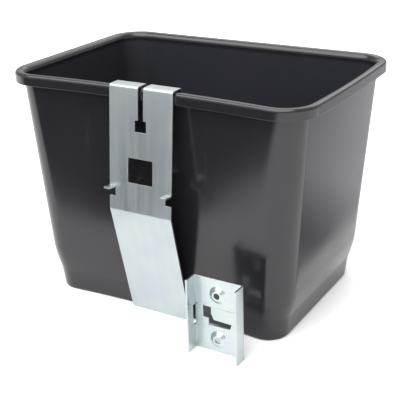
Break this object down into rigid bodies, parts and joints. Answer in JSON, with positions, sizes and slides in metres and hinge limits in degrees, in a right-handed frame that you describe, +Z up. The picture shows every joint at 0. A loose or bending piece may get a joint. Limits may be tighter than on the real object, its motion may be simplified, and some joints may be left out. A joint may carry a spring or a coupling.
{
  "type": "feed bucket",
  "caption": "Rectangular tapered plastic feed tub with a rolled rim, a hook-over sheet-steel hanger strap and a channel wall bracket.",
  "frame": {"origin": "middle of the tub's underside, on the floor", "axes": "+X along the tub's long side, -Y out of the side that carries the strap, +Z up"},
  "size_m": [0.3635, 0.2785, 0.2643],
  "materials": {
    "tub_plastic": "black moulded polypropylene, satin gloss",
    "strap_steel": "zinc plated, bright",
    "bracket_steel": "zinc plated, bright"
  },
  "bodies": {
    "tub": {"tub": "tub_plastic"},
    "hanger_strap": {"hanger_strap": "strap_steel"},
    "wall_bracket": {"wall_bracket": "bracket_steel"}
  },
  "joints": [
    {"name": "strap_lift_off", "type": "slide", "parent": "tub", "child": "hanger_strap", "axis": [0, -0.1132, 0.9936], "range_m": [0, 0.28]},
    {"name": "bracket_away", "type": "slide", "parent": "tub", "child": "wall_bracket", "axis": [0, -1, 0], "range_m": [0, 0.15]}
  ]
}
